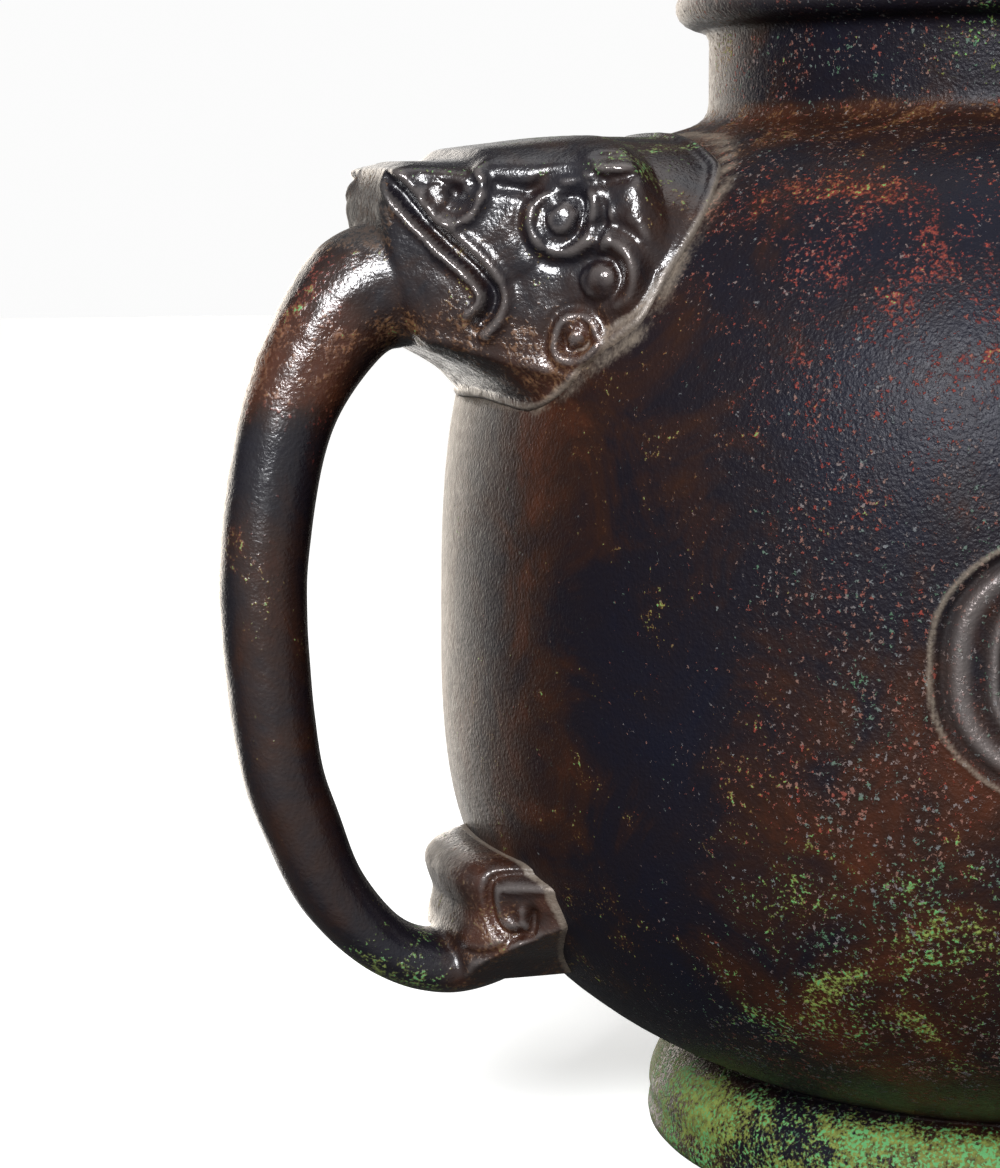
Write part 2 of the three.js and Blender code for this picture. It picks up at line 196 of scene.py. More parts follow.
def combine(piece, other, operation):
    """The piece fused with another closed mesh, or cut by it. The other is then taken away."""
    boolean = piece.modifiers.new("combine", "BOOLEAN")
    boolean.operation = operation
    boolean.solver = "MANIFOLD"
    boolean.object = other
    settle(piece)
    bpy.data.objects.remove(other)


def body_tool(grow):
    """The body's outside as one closed solid, grown by an amount, for cutting what sits on it."""
    widest = BELLY + grow
    line = np.vstack([body_curve(grow, (0.01, widest), False), body_curve(grow, (widest, 0.01), True)[1:]])
    return grid_piece("tool", turned(line, np.linspace(0, 2 * np.pi, 240, endpoint=False)))


def head_section(s):
    """Half width, underside, top and squareness of the head at a reach from the vessel's axis."""
    top = np.interp(s, [58, 76, 91.6, 94, 101, 104, 105.6], [154, 154.3, 152.5, 150.6, 150.6, 149.6, 145])
    low = np.interp(s, [58, 86, 90.5, 94, 99.6, 103, 105.6], [116, 116, 120, 122.1, 124.6, 129, 143])
    power = np.interp(s, [58, 72, 80, 104, 105.6], [2.35, 2.5, 5, 5, 3.5])
    cheek = NOSE_HALF + CHEEK_SLOPE * (NOSE_REACH - s) + np.interp(s, [77, 82], [3.2, 0])
    half = np.where(s > NOSE_REACH, NOSE_HALF - (s - NOSE_REACH), np.minimum(34.5, cheek))
    return half, low, top, power


def head_points():
    """Sections of the head one behind another, from inside the body to the nose."""
    s = np.r_[np.linspace(60, 104, 60), np.linspace(104.4, 105.6, 5)][:, None]
    half, low, top, power = head_section(s)
    turn = np.linspace(0, 2 * np.pi, 120, endpoint=False)
    across, up = superellipse(turn, half, (top - low) / 2, power)
    return from_handle(s, across, (top + low) / 2 + up)


def loop_points():
    """An oval bar carried along a curve of stations: reach, height, half thickness, half width."""
    stations = smooth_line([
        (94, 133, 8, 16.5), (104, 132.6, 9.2, 10.4), (110.6, 126.6, 7.9, 8.4), (116.9, 114.3, 6.6, 7.3),
        (120.2, 97, 6.3, 7), (120.4, 83, 6.1, 7), (118.4, 65, 5.8, 7), (115.3, 55.5, 5.6, 7),
        (110.7, 45.2, 5.1, 6.8), (102.6, 36.6, 4.5, 7.2), (93.5, 33.6, 4.4, 8.5), (84, 36, 4.2, 9),
        (74, 42, 4.2, 9),
    ], 150)
    s, z, thick, wide = stations.T[:, :, None]
    ahead = np.gradient(stations[:, :2], axis=0)
    ahead /= np.linalg.norm(ahead, axis=1)[:, None]
    turn = np.linspace(0, 2 * np.pi, 40, endpoint=False)
    across, out = superellipse(turn, wide, thick, 2.2)
    return from_handle(s - ahead[:, 1:] * out, across, z + ahead[:, :1] * out)


def scroll_points():
    """Level sections of the curled lobe: each a wedge with a round front, back to inside the body."""
    z = np.linspace(32, 50.8, 40)[:, None]
    front = np.interp(z, [34, 39, 41, 43, 45, 47, 48.5, 50, 50.8],
                      [94, 94.2, 93.6, 93.2, 94, 94.6, 94.4, 93, 90])
    half = np.interp(z, [32, 36, 42, 47, 50, 50.8], [8, 12, 20, 22.5, 22.5, 20])
    share = np.linspace(1, -1, 61)
    past = np.abs(share * half) - 10.7
    setback = (past + np.hypot(past, 3)) / (2 * FLANK_SLOPE)
    rim = from_handle(front - setback + 0.5, share * half, z)
    back = np.linspace(-1, 1, 20)
    return np.concatenate([rim, from_handle(66 + 0 * z, back * half, z)], axis=1)


def bead_points(section, back, front, width):
    """A thin bead of solder round a joint, found by halving where the section's edge meets the body."""
    turn = np.linspace(0, 2 * np.pi, 240, endpoint=False)
    inside, outside = np.full(240, float(back)), np.full(240, float(front))
    for _ in range(30):
        s = (inside + outside) / 2
        half, low, top, power = section(s)
        across, up = superellipse(turn, half, (top - low) / 2, power)
        height = (top + low) / 2 + up
        clear = np.hypot(s, across) > body_radius(height)
        inside, outside = np.where(clear, inside, s), np.where(clear, s, outside)
    line = from_handle(s, across, height)
    ahead = np.roll(line, -1, axis=0) - np.roll(line, 1, axis=0)
    ahead /= np.linalg.norm(ahead, axis=1)[:, None]
    out = line * [1, 1, 0] / np.linalg.norm(line[:, :2], axis=1)[:, None]
    side = np.cross(ahead, out)
    side /= np.linalg.norm(side, axis=1)[:, None]
    out = np.cross(side, ahead)
    ring = np.linspace(0, 2 * np.pi, 10, endpoint=False)[None, :, None]
    return line[:, None] + width * (np.cos(ring) * out[:, None] + np.sin(ring) * side[:, None])


def line_distance(across, up, line):
    """The least distance from places on a face to a line of points on it."""
    least = np.full(across.shape, 99.0)
    for (a, b), (c, d) in zip(line[:-1], line[1:]):
        run = (c - a) ** 2 + (d - b) ** 2
        share = np.clip(((across - a) * (c - a) + (up - b) * (d - b)) / run, 0, 1)
        least = np.minimum(least, np.hypot(across - a - share * (c - a), up - b - share * (d - b)))
    return least


def beside(line, distance):
    """A line kept at a distance to the left of another."""
    ahead = np.gradient(line, axis=0)
    ahead /= np.linalg.norm(ahead, axis=1)[:, None]
    return line + distance * np.stack([-ahead[:, 1], ahead[:, 0]], axis=1)


def ring_relief(across, up, centre, radius, point, lean, width):
    """A raised ring, drop-shaped by point and lean, with a line cut inside and outside it."""
    x, z = across - centre[0], up - centre[1]
    turn = np.arctan2(z, x) - lean
    off = np.hypot(x, z) - radius * (1 + point * np.maximum(0, np.cos(turn)) ** 5)
    inner, outer = ridge(off + 1.7 * width, 0.5 * width), ridge(off - 1.9 * width, 0.7 * width)
    return ridge(off, width) - 0.55 * inner - 0.35 * outer


def dome_relief(across, up, centre, wide, high):
    """A round boss, one high at its centre."""
    level = ((across - centre[0]) / wide) ** 2 + ((up - centre[1]) / high) ** 2
    return np.sqrt(np.maximum(0, 1 - level))


def cheek_relief(t, z):
    """What is carved on a cheek, by distance back from the nose and by height: ridges and grooves
    along the lip, jaw, nostril and brow, rings and domes for the eye and the curls behind it."""
    lip = smooth_line([(-1, 148.4), (1, 146.5), (4.3, 143), (8, 139.6), (12.5, 135.8), (14.8, 132.6),
                       (14.4, 130), (12.6, 128.2)], 40)
    jaw = smooth_line([(1, 126.6), (10, 124.6), (17.3, 122.8), (26, 121.8)], 12)
    nostril = smooth_line([(12.8, 149.5), (14, 146.5), (12.2, 143), (8.6, 141.9), (5.6, 143.6),
                           (4.9, 146.4)], 24)
    roll = smooth_line([(-4, 148.8), (4, 149.3), (9.5, 148.8), (12.4, 147.2)], 16)
    brow = smooth_line([(13, 150.2), (20, 149.6), (28, 150.2), (34, 151.4)], 12)
    eye = (25, 142.4)
    curl = (31.4, 135.2)
    height = 0.9 * dome_relief(t, z, (14, 140.5), 9, 7) - 2.0 * ridge(line_distance(t, z, lip), 0.95)
    height += 1.0 * ridge(line_distance(t, z, beside(lip, 2.1)), 1.0)
    height += 0.7 * ridge(line_distance(t, z, beside(lip, -1.7)), 0.65)
    height += 0.7 * ridge(line_distance(t, z, jaw), 1.2)
    height += 1.0 * ridge(line_distance(t, z, nostril), 0.9) + 1.5 * ridge(line_distance(t, z, roll), 1.9)
    height += dome_relief(t, z, (6.8, 145.6), 2.0, 2.1) - 1.0 * ridge(np.hypot(t - 9.9, z - 146), 1.2)
    height += 1.0 * ridge(line_distance(t, z, brow), 2.3)
    height -= 0.7 * ridge(line_distance(t, z, beside(brow, -3)), 0.9)
    height += 1.1 * ring_relief(t, z, eye, 4.15, 0.42, 0.85, 1.1)
    height += 1.7 * dome_relief(t, z, (24.8, 142.4), 2.9, 3.1)
    lid = ease(0.2, 0.8, np.cos(np.arctan2(z - eye[1], t - eye[0]) - 0.4))
    height += 0.5 * ridge(np.hypot(t - eye[0], z - eye[1]) - 7.3, 0.6) * lid
    lean = np.cos(np.arctan2(z - curl[1], t - curl[0]) - 0.7)
    height += (0.75 + 0.65 * lean) * ring_relief(t, z, curl, 4.5, 0, 0, 1.25)
    height += 1.8 * dome_relief(t, z, (30.6, 134.3), 3.0, 2.7)
    height += 0.9 * ring_relief(t, z, (27.3, 126.5), 2.9, 0.3, -2.4, 0.85)
    height += 1.3 * dome_relief(t, z, (27.3, 126.9), 1.8, 1.8)
    slot = ease(28, 31, t) * (1 - ease(47, 50, t))
    height += slot * (0.7 * ridge(z - 149.5, 0.8) - 1.3 * ridge(z - 151.1, 0.8))
    return height


def flank_relief(t, z):
    """What is carved on the scroll's flank: a squared hook and a strip's edge."""
    hook = smooth_line([(16, 49.8), (6, 49), (3.9, 47), (4.2, 42.5), (6.5, 40.4), (10, 40.8), (10.6, 44)], 36)
    strip = smooth_line([(-7, 38.6), (-3, 37.4), (2, 37), (5.5, 38.2), (8.6, 41.2)], 16)
    height = 0.5 * ridge(line_distance(t, z, beside(hook, 1.7)), 0.8)
    height -= 1.1 * ridge(line_distance(t, z, hook), 0.75)
    return height - 0.8 * ridge(line_distance(t, z, strip), 0.7)


def carve(points, reach, half, slope, relief, window):
    """Moves points near a slanted side face along its outward normal, alike on both sides. The
    face starts at a reach and half width, and its slope is its width gained by distance back."""
    s, n, z = -points[:, 0], np.abs(points[:, 1]), points[:, 2]
    angle = math.atan(slope)
    back = (reach - s) * math.cos(angle) + (n - half) * math.sin(angle)
    depth = (s - reach) * math.sin(angle) + (n - half) * math.cos(angle)
    near = window(s, n, z) & (depth > -5)
    push = relief(back[near], z[near]) * ease(-4.5, -1.8, depth[near])
    points[near, 0] -= push * math.sin(angle)
    points[near, 1] += push * math.cos(angle) * np.sign(points[near, 1])


def make_handle():
    """Head, loop, scroll and solder fused into one even skin, eased, cut to its seat and carved."""
    handle = grid_piece("ewer_handle", head_points())
    combine(handle, grid_piece("tool", loop_points()), "UNION")
    combine(handle, grid_piece("tool", scroll_points()), "UNION")
    combine(handle, grid_piece("tool", bead_points(head_section, 62, 104, 0.9), hoop=True), "UNION")
    even = handle.modifiers.new("even", "REMESH")
    even.mode = "VOXEL"
    even.voxel_size = 0.46 * MM
    soften = handle.modifiers.new("soften", "SMOOTH")
    soften.factor = 0.5
    soften.iterations = 5
    settle(handle)
    combine(handle, body_tool(-LAP), "DIFFERENCE")
    points = points_of(handle)
    on_head = ease(118, 124, points[:, 2])
    lumps = 0.06 * waves(points, 7, 11)
    lumps += on_head * (0.10 * waves(points, 6, 12) + 0.09 * waves(points, 3, 13))
    carve(points, NOSE_REACH, NOSE_HALF, CHEEK_SLOPE, cheek_relief,
          lambda s, n, z: (z > 119) & (s > 62))
    carve(points, FLANK_REACH, FLANK_HALF, FLANK_SLOPE, flank_relief,
          lambda s, n, z: (z < 52) & (s < 96) & (n > 7))
    points += lumps[:, None] * [0.6, 0.6, 0.2]
    handle.data.vertices.foreach_set("co", (points * MM).astype(np.float32).ravel())
    handle.data.update()
    return handle


class Shade:
    """A socket in a material's node tree. Python's operators on it add the Math nodes."""

    def __init__(self, tree, socket=None):
        self.tree = tree
        self.socket = socket

    def node(self, kind, settings, inputs, output=0):
        """A node of a kind, with its settings made first and then its sockets' values or links."""
        made = self.tree.nodes.new(kind)
        for name, value in settings.items():
            if name == "stops":
                ramp = made.color_ramp
                ramp.elements.remove(ramp.elements[0])
                ramp.elements[0].position = value[0][0]
                ramp.elements[0].color = (*value[0][1], 1)
                for place, colour in value[1:]:
                    ramp.elements.new(place).color = (*colour, 1)
            else:
                setattr(made, name, value)
        for name, value in inputs.items():
            if isinstance(value, Shade):
                self.tree.links.new(value.socket, made.inputs[name])
            elif isinstance(value, tuple) and made.inputs[name].type == "RGBA":
                made.inputs[name].default_value = (*value, 1)
            else:
                made.inputs[name].default_value = value
        return Shade(self.tree, made.outputs[output]) if made.outputs else None

    def math(self, operation, *values):
        return self.node("ShaderNodeMath", {"operation": operation}, dict(enumerate(values)))

    def __add__(self, other):
        return self.math("ADD", self, other)

    def __mul__(self, other):
        return self.math("MULTIPLY", self, other)

    def __sub__(self, other):
        return self.math("SUBTRACT", self, other)

    def __rsub__(self, other):
        return self.math("SUBTRACT", other, self)

    __radd__ = __add__
    __rmul__ = __mul__

    def most(self, other):
        return self.math("MAXIMUM", self, other)

    def rise(self, low, high):
        """Nought below low, one above high and smooth between."""
        settings = {"interpolation_type": "SMOOTHSTEP"}
        return self.node("ShaderNodeMapRange", settings, {0: self, 1: low, 2: high})

    def noise(self, per_metre, detail=4.0, rough=0.55, warp=0.0):
        """Cloudy noise of the place, mostly from 0.3 to 0.7, with so many lumps to the metre."""
        inputs = {"Vector": self, "Scale": per_metre, "Detail": detail,
                  "Roughness": rough, "Distortion": warp}
        return self.node("ShaderNodeTexNoise", {}, inputs)

    def tint(self, stops):
        """A colour picked from stops, each a place from 0 to 1 and a colour."""
        return self.node("ShaderNodeValToRGB", {"stops": stops}, {0: self})

    def under(self, over, mask):
        """This colour with another laid over it by a mask."""
        return self.node("ShaderNodeMix", {"data_type": "RGBA"}, {0: mask, 6: self, 7: over}, 2)


def bronze(name, crusts, dull, grit, gloss):
    """Dark bronze with crusts. crusts maps x and z to how readily green, red, ochre, rust and pale
    dust form, dull is the clean skin's roughness, grit its grain and gloss its refractive index.
    Each crust shows where its readiness plus noises of several sizes rises past a threshold."""
    verdigris = (0.090, 0.280, 0.100)
    rubbed = (0.260, 0.230, 0.220)
    solder = (0.220, 0.180, 0.140)
    # Painted shade: a near-black laid over grooves, sunk fields and the nose's front, where shade falls.
    painted_shade_colour = (0.004, 0.003, 0.003)
    material = bpy.data.materials.new(name)
    material.use_nodes = True
    material.node_tree.nodes.clear()
    start = Shade(material.node_tree)
    place = start.node("ShaderNodeTexCoord", {}, {}, "Object")
    x, z = [start.node("ShaderNodeSeparateXYZ", {}, {0: place}, axis) for axis in (0, 2)]
    green_at, red_at, ochre_at, rust_at, dust_at = crusts(x, z)
    # Marks kept on the meshes: solder, painted shade and rubbed wear.
    seam, hollow, worn = [start.node("ShaderNodeAttribute", {"attribute_name": kept}, {}, "Fac")
                          for kept in ("seam", "hollow", "worn")]

    clouds = place.noise(20, 5, 0.6, 0.5)
    drifts = place.noise(55, 5, 0.68, 0.8)
    mottle = place.noise(160, 5, 0.68, 0.3)
    fine = place.noise(700, 4, 0.65)
    speck = place.noise(1900, 2, 0.5)
    grain = speck * 0.6 + fine * 0.4
    patchy = drifts * 0.7 + mottle * 0.4 + grain * 0.9
    stir = start.node("ShaderNodeTexNoise", {}, {"Vector": place, "Scale": 2600, "Detail": 2}, "Color")
    stirred = start.node("ShaderNodeVectorMath", {"operation": "MULTIPLY_ADD"},
                         {0: stir, 1: (0.0014,) * 3, 2: place})
    cells = {"Vector": stirred, "Scale": 1350}
    middle = start.node("ShaderNodeTexVoronoi", {}, cells, "Distance")
    chances = start.node("ShaderNodeTexVoronoi", {}, cells, "Color")
    hue, size = [start.node("ShaderNodeSeparateColor", {}, {0: chances}, part) for part in range(2)]

    dark = (clouds * 0.6 + drifts * 0.4 + rust_at).tint([
        (0.38, (0.006, 0.006, 0.012)),
        (0.48, (0.008, 0.006, 0.009)),
        (0.56, (0.022, 0.009, 0.006)),
        (0.66, (0.060, 0.017, 0.007)),
    ])
    specks = (hue * 0.4 + drifts * 0.8 + red_at * 1.5 - green_at).tint([
        (0.35, (0.080, 0.180, 0.100)),
        (0.50, (0.170, 0.180, 0.190)),
        (0.65, (0.230, 0.130, 0.100)),
        (0.80, (0.260, 0.045, 0.030)),
    ])
    red = fine.tint([(0.35, (0.060, 0.008, 0.006)), (0.65, (0.220, 0.035, 0.025))])
    ochre = fine.tint([(0.35, (0.040, 0.018, 0.008)), (0.65, (0.150, 0.070, 0.028))])
    green = (drifts * 0.4 + fine * 0.6).tint([
        (0.38, (0.036, 0.038, 0.014)),
        (0.50, (0.115, 0.125, 0.028)),
        (0.62, (0.185, 0.240, 0.055)),
    ])
    speck_mask = (dust_at + size * 0.35 + mottle * 0.6 + speck * 0.9 - middle * 0.8).rise(0.80, 1.0)
    red_mask = (red_at + patchy).rise(1.16, 1.30)
    ochre_mask = (ochre_at + clouds * 0.3 + patchy).rise(1.32, 1.46)
    green_mask = (green_at + patchy).rise(1.18, 1.30)
    verdigris_mask = green_mask * (green_at * 0.3 + mottle * 0.4 + speck * 0.7).rise(0.66, 0.74)
    seam_mask = (seam + grain * 0.8 - 0.4).rise(0.2, 0.8)

    colour = dark.under(red, red_mask * 0.8)
    colour = colour.under(ochre, ochre_mask * 0.8)
    colour = colour.under(specks, speck_mask * 0.6)
    colour = colour.under(green, green_mask)
    colour = colour.under(verdigris, verdigris_mask)
    colour = colour.under(rubbed, worn * 0.7)
    colour = colour.under(solder, seam_mask * 0.6)
    # Painted shade: darkens the marked grooves, sunk fields and nose front. The same mark also roughens them
    # below.
    colour = colour.under(painted_shade_colour, hollow * 0.9)

    crust = (green_mask * 0.7).most(red_mask * 0.4).most(ochre_mask * 0.5).most(speck_mask).most(seam_mask)
    height = fine * 0.2 + speck * 0.4 + mottle * 0.15 + crust * 0.3
    roughness = crust * 0.32 + fine * 0.3 + hollow * 0.4 + (dull - 0.15)
    finish = {
        "Base Color": colour,
        "Roughness": roughness - worn * 0.10,
        "Metallic": worn * 0.6 + 0.12 - crust * 0.12,
        "Normal": start.node("ShaderNodeBump", {}, {"Strength": grit, "Distance": 0.0005, "Height": height}),
        "IOR": gloss,
    }
    surface = start.node("ShaderNodeBsdfPrincipled", {}, finish)
    start.node("ShaderNodeOutputMaterial", {}, {"Surface": surface})
    return material


def finish_piece(piece, node, material):
    """The piece in its material, riding the part in place of a CAD node."""
    piece.data.materials.clear()
    piece.data.materials.append(material)
    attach(piece, "root")
    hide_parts(node)


def handle_crusts(x, z):
    """Ochre and rust along the jaw, on the nose and on the lobe, red down the loop's upper part,
    green at the loop's foot and on the brow. Each zone is a product of rises along x and z."""
    loop = 1 - x.rise(-0.112, -0.104)
    foot = 1 - z.rise(0.036, 0.044)
    jaw = (1 - z.rise(0.126, 0.134)) * z.rise(0.112, 0.120)
    nose = z.rise(0.136, 0.140) * (1 - x.rise(-0.1045, -0.1035))
    lobe = (1 - z.rise(0.052, 0.056)) * x.rise(-0.098, -0.094)
    green = (foot * (1 - x.rise(-0.100, -0.092)) * 0.18).most(z.rise(0.146, 0.150) * 0.08)
    red = loop * z.rise(0.085, 0.115) * 0.08 + jaw * 0.05
    ochre = jaw * 0.16 + foot * 0.05 + nose * 0.20 + lobe * 0.08
    rust = jaw * 0.08 + loop * 0.08 + lobe * 0.10 - 0.06
    return green, red, ochre, rust, jaw * 0.1 - 0.32


def seat_mark(piece):
    """Marks the solder where a piece meets the body."""
    points = points_of(piece)
    away = np.hypot(points[:, 0], points[:, 1]) - body_radius(points[:, 2])
    mark(piece, "seam", 0.7 * (1 - ease(0.5, 1.4, np.abs(away))))


def painted_shade_places(points):
    """Painted shade: darkening on the nose's flat front, which catches the key light, and on the step above
    the scroll's lobe.
    """
    reach, height = -points[:, 0], points[:, 2]
    nose = ease(104, 105.2, reach) * ease(137, 140, height)
    lobe = ease(91.5, 93.5, reach) * (1 - ease(95, 96, reach)) * ease(39, 41, height) * (height < 54)
    return 0.8 * nose + 0.5 * lobe


def standing(piece):
    """How far each point stands above the mean of its neighbours along its normal, evened out by
    going halfway to the neighbours' mean four times. It is high on ridges and low in grooves."""
    count = len(piece.data.vertices)
    pairs = np.empty(2 * len(piece.data.edges), np.int32)
    piece.data.edges.foreach_get("vertices", pairs)
    near = np.concatenate([pairs[::2], pairs[1::2]])
    far = np.concatenate([pairs[1::2], pairs[::2]])
    normals = np.empty(3 * count, np.float32)
    piece.data.vertices.foreach_get("normal", normals)
    neighbours = np.maximum(np.bincount(near, minlength=count), 1)
    around = lambda values: np.bincount(near, values[far], count) / neighbours
    points = points_of(piece)
    above = sum((points[:, axis] - around(points[:, axis])) * normals[axis::3] for axis in range(3))
    for _ in range(4):
        above = (above + around(above)) / 2
    return above


handle = make_handle()
seat_mark(handle)
# Painted shade on the nose's front and on the lobe's step.
mark(handle, "hollow", painted_shade_places(points_of(handle)))
mark(handle, "worn", 0.7 * ease(0.015, 0.055, standing(handle)))
finish_piece(handle, "handle", bronze("handle bronze", handle_crusts, 0.27, 0.45, 1.75))

# Spout. A tapering hollow tube soldered over a bore low in the body, with a thin collar below its
# tip. It lies past the photograph's edge and is kept plain.
SPOUT_LINE = [(76, 61), (94, 67), (108, 85), (112, 109), (117.2, 155), (120.2, 169)]
SPOUT_LENGTH = 140
SPOUT_ROOT = 15.0
SPOUT_NARROWS = 8.5
SPOUT_WALL = 2.5
COLLAR_AT = 0.9


def spout_points(grow, start, end, collar):
    """A round tube along the spout's line between two shares of it, run on straight past its ends.
    Its radius falls with the root of the share. The collar is a ridge below the tip."""
    line = smooth_line(SPOUT_LINE, 241)
    ahead = np.gradient(line, axis=0)
    ahead /= np.linalg.norm(ahead, axis=1)[:, None]
    share = np.linspace(start, end, int(150 * (end - start)) + 2)
    whole = np.linspace(0, 1, 241)
    s, z, right, up = [np.interp(share, whole, column)[:, None] for column in (*line.T, *ahead.T)]
    share = share[:, None]
    past = (np.maximum(share - 1, 0) + np.minimum(share, 0)) * SPOUT_LENGTH
    radius = SPOUT_ROOT - SPOUT_NARROWS * np.sqrt(np.clip(share, 0, 1)) + grow
    radius = radius + collar * (ridge((share - COLLAR_AT) * 130, 1.1) - 0.5 * ease(0.994, 1, share))
    turn = np.linspace(0, 2 * np.pi, 64, endpoint=False)
    out = radius * np.sin(turn)
    return np.stack([s + right * past - up * out, radius * np.cos(turn),
                     z + up * past + right * out], axis=-1)


def spout_crusts(x, z):
    """A little green low on the root and red along the tube."""
    return (1 - z.rise(0.05, 0.09)) * 0.2, z * 0.4, z * 0.2, z * 0.2, z * 0.4 - 0.1


spout = grid_piece("ewer_spout", spout_points(0, 0.02, 1, 1))
combine(spout, grid_piece("tool", spout_points(-SPOUT_WALL, -0.1, 1.1, 0)), "DIFFERENCE")
combine(spout, body_tool(-LAP), "DIFFERENCE")
seat_mark(spout)
# The spout gets no painted shade and no wear.
for clean in ("hollow", "worn"):
    mark(spout, clean, np.zeros(len(spout.data.vertices)))
finish_piece(spout, "spout", bronze("spout bronze", spout_crusts, 0.34, 0.4, 1.45))

# Vessel. One casting: a ring foot, a round body that is fullest at mid height, a straight neck and
# a rolled rim, hollow with a 3 mm wall. A panel on each broad side is framed by a round ridge and a
# thin one, with a low wavy stem and beads on a sunk ground. The mould left the skin uneven.
WALL = 3.0
FOOT = 57.3
FOOT_HEIGHT = 14.7
NECK = 49.0
NECK_TOP = 170.4
RIM_OVERHANG = 5.3
RIM_THICKNESS = 7.0
PANEL_HALF = (51.5, 22.5)
PANEL_HEIGHT = 86.5
PANEL_SQUARENESS = 2.7
ROUND_RIDGE = 2.9
THIN_RIDGE = 6.7
FIELD = 7.2
BROAD_SIDE = 20


def paced(run, spacing):
    """Places along a run of values, as far apart as the spacing given for each value."""
    steps = np.r_[0, np.cumsum(np.diff(run) * 2 / (spacing[1:] + spacing[:-1]))]
    return np.interp(np.linspace(0, steps[-1], int(round(steps[-1])) + 1), steps, run)


def arc(centre, out, up, start, end, power=2.0):
    """A superelliptic arc about a centre between two angles in degrees."""
    turn = np.radians(np.linspace(start, end, 24))
    return np.array(centre) + np.stack(superellipse(turn, out, up, power), axis=1)


def vessel_profile():
    """From under the base, out round the foot, up the outside, over the rim and down the inside."""
    ceiling = FOOT_HEIGHT - 4
    rest = FOOT - 5.8
    roll = FOOT - 48.6
    outline = np.vstack([
        body_curve(0, (0.01, 36.5), False),
        [[rest - 2.5, ceiling], [rest, ceiling - 3], [rest, 0.3], [rest + 0.3, 0]],
        [[FOOT - 1, 0], [FOOT - 0.3, 0.3], [FOOT, 1.2], [FOOT, 3.7], [FOOT - 0.9, 4.6]],
        arc((FOOT - roll, 5.6), roll, FOOT_HEIGHT - 5.6, 0, 84),
        body_curve(0, (50.6, BELLY), False),
        body_curve(0, (BELLY, 51.4), True)[1:],
        [[NECK + 0.6, 157.3], [NECK, 158.6], [NECK, NECK_TOP - 0.4], [NECK + 0.6, NECK_TOP]],
        arc((NECK, NECK_TOP + RIM_THICKNESS / 2), RIM_OVERHANG, RIM_THICKNESS / 2, -70, 120, 2.2),
        [[NECK - WALL, NECK_TOP + RIM_THICKNESS - 2.2], [NECK - WALL, 156]],
        body_curve(-WALL, (NECK - WALL, BELLY - WALL), True)[1:],
        body_curve(-WALL, (BELLY - WALL, 0.01), False)[1:],
    ])
    run = np.r_[0, np.cumsum(np.linalg.norm(np.diff(outline, axis=0), axis=1))]
    radius, height = outline.T
    inside = (np.arange(len(run)) > np.argmax(height)) & (height < NECK_TOP)
    off = np.abs(height - PANEL_HEIGHT) - PANEL_HALF[1]
    frame_rows = (1.9 * ridge(off + 4.5, 6) + 0.75 * (off < 0)) * (radius > 60)
    curled = (height < FOOT_HEIGHT + 3) | (height > 154)
    place = paced(run, np.where(inside, 9.0, 1 / (1 / 2.7 + frame_rows + 0.45 * curled)))
    line = np.stack([np.interp(place, run, radius), np.interp(place, run, height)], axis=1)
    line[1:-1] = (line[:-2] + 2 * line[1:-1] + line[2:]) / 4
    return line


def vessel_turns():
    """Angles round the axis, close together across the panels and closest at their ends."""
    turn = np.linspace(0, 2 * np.pi, 4000)
    across = np.abs(BELLY * np.cos(turn))
    near_end = ridge(across - PANEL_HALF[0] + 4.5, 7)
    return paced(turn, 1 / (1 / 3.6 + 1.7 * near_end + 0.35 * (across < PANEL_HALF[0])) / BELLY)[:-1]


def panel_inset(x, z):
    """How far a place lies inside a panel's superelliptic edge, by its level and that level's slope."""
    a, b = PANEL_HALF
    p = PANEL_SQUARENESS
    x, z = np.abs(x) + 1e-6, np.abs(z - PANEL_HEIGHT) + 1e-6
    level = ((x / a) ** p + (z / b) ** p) ** (1 / p)
    slope = level ** (1 - p) * np.hypot(x ** (p - 1) / a**p, z ** (p - 1) / b**p)
    return (1 - level) / slope


def panel_stem(x, z):
    """A wavy stem along the field, a ridge about a sine, with a round bead inside each of its bends."""
    z = z - PANEL_HEIGHT
    bend, swing = 12.5, 6.5
    slope = swing * np.pi / bend * np.cos(np.pi * x / bend)
    stem = ridge((z - swing * np.sin(np.pi * x / bend)) / np.hypot(1, slope), 1.1)
    count = np.round(x / bend - 0.5)
    side = 1 - 2 * (count % 2)
    bead = dome_relief(x, z + 0.6 * swing * side, ((count + 0.5) * bend, 0), 2.7, 2.7)
    return np.maximum(stem, bead) * ease(8.2, 9.2, panel_inset(x, z + PANEL_HEIGHT))


def panel_relief(points):
    """Frame and stem as a height over the body: ridges and grooves by inset, and a sunk field."""
    x, y, z = points[..., 0], points[..., 1], points[..., 2]
    inset = panel_inset(x, z)
    height = 0.12 * ridge(inset, 0.7) - 0.55 * ridge(inset - 1.15, 0.5)
    height += 0.85 * ridge(inset - ROUND_RIDGE, 1.15)
    height += 0.1 * ease(3.6, 4.6, inset) * (1 - ease(5.6, 6.2, inset))
    height += 0.65 * ridge(inset - THIN_RIDGE, 0.6)
    height += 0.7 * panel_stem(x, z) - 0.75 * ease(FIELD, 7.9, inset)
    outside = np.hypot(x, y) > body_radius(z) - 1
    return height * outside * (np.abs(y) > BROAD_SIDE) * (inset > -3)


def vessel_points():
    """The profile carried round the axis, pushed outward by the panels' relief and by unevenness."""
    points = turned(vessel_profile(), vessel_turns())
    push = 0.16 * waves(points, 48, 3) + 0.04 * waves(points, 9, 4)
    push = push * ease(2, 9, points[..., 2]) + panel_relief(points)
    away = points * [1, 1, 0]
    return points + away / np.maximum(np.linalg.norm(away, axis=-1, keepdims=True), 1) * push[..., None]


